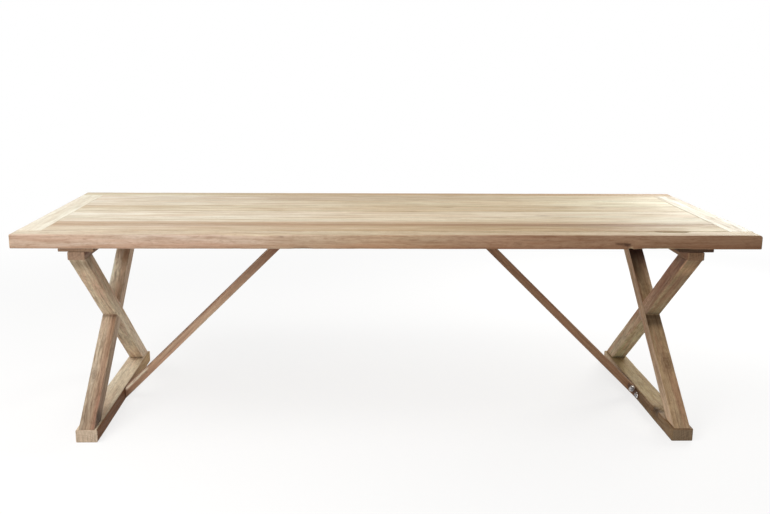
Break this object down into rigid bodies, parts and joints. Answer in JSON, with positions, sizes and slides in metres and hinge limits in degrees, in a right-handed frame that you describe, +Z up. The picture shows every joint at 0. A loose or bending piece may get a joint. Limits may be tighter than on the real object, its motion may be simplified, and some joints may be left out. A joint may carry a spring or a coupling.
{
  "type": "sawbuck table",
  "caption": "Long sawbuck dining table with a framed plank top on crossed-leg trestles, held upright by diagonal braces up to the underside of the top.",
  "frame": {"origin": "on the floor, below the middle of the table top", "axes": "+X along the table's length to the right, -Y towards the front, +Z up"},
  "size_m": [2.6, 1, 0.775],
  "materials": {
    "top_wood": "pale washed reclaimed boards, matt",
    "tongue_wood": "planed, hidden in the seams",
    "trestle_wood": "weathered grey-brown, matt",
    "brace_wood": "redder brown, matt",
    "bracket_steel": "dark brown, dull",
    "screw_steel": "bright zinc"
  },
  "bodies": {
    "root": {"front_border_board": "top_wood", "back_border_board": "top_wood", "left_end_board": "top_wood", "right_end_board": "top_wood", "plank_1": "top_wood", "plank_2": "top_wood", "plank_3": "top_wood", "plank_4": "top_wood", "plank_5": "top_wood", "plank_6": "top_wood", "loose_tongue_1": "tongue_wood", "loose_tongue_2": "tongue_wood", "loose_tongue_3": "tongue_wood", "loose_tongue_4": "tongue_wood", "loose_tongue_5": "tongue_wood", "loose_tongue_6": "tongue_wood", "loose_tongue_7": "tongue_wood", "left_batten": "trestle_wood", "left_head_rail": "trestle_wood", "left_foot_rail": "trestle_wood", "left_front_leg": "trestle_wood", "left_back_leg": "trestle_wood", "left_brace_batten": "trestle_wood", "left_brace": "brace_wood", "left_foot_bracket": "bracket_steel", "left_head_bracket": "bracket_steel", "right_batten": "trestle_wood", "right_head_rail": "trestle_wood", "right_foot_rail": "trestle_wood", "right_front_leg": "trestle_wood", "right_back_leg": "trestle_wood", "right_brace_batten": "trestle_wood", "right_brace": "brace_wood", "right_foot_bracket": "bracket_steel", "right_head_bracket": "bracket_steel", "batten_screws": "screw_steel", "head_rail_screws": "screw_steel", "bracket_screws": "screw_steel"}
  },
  "joints": []
}
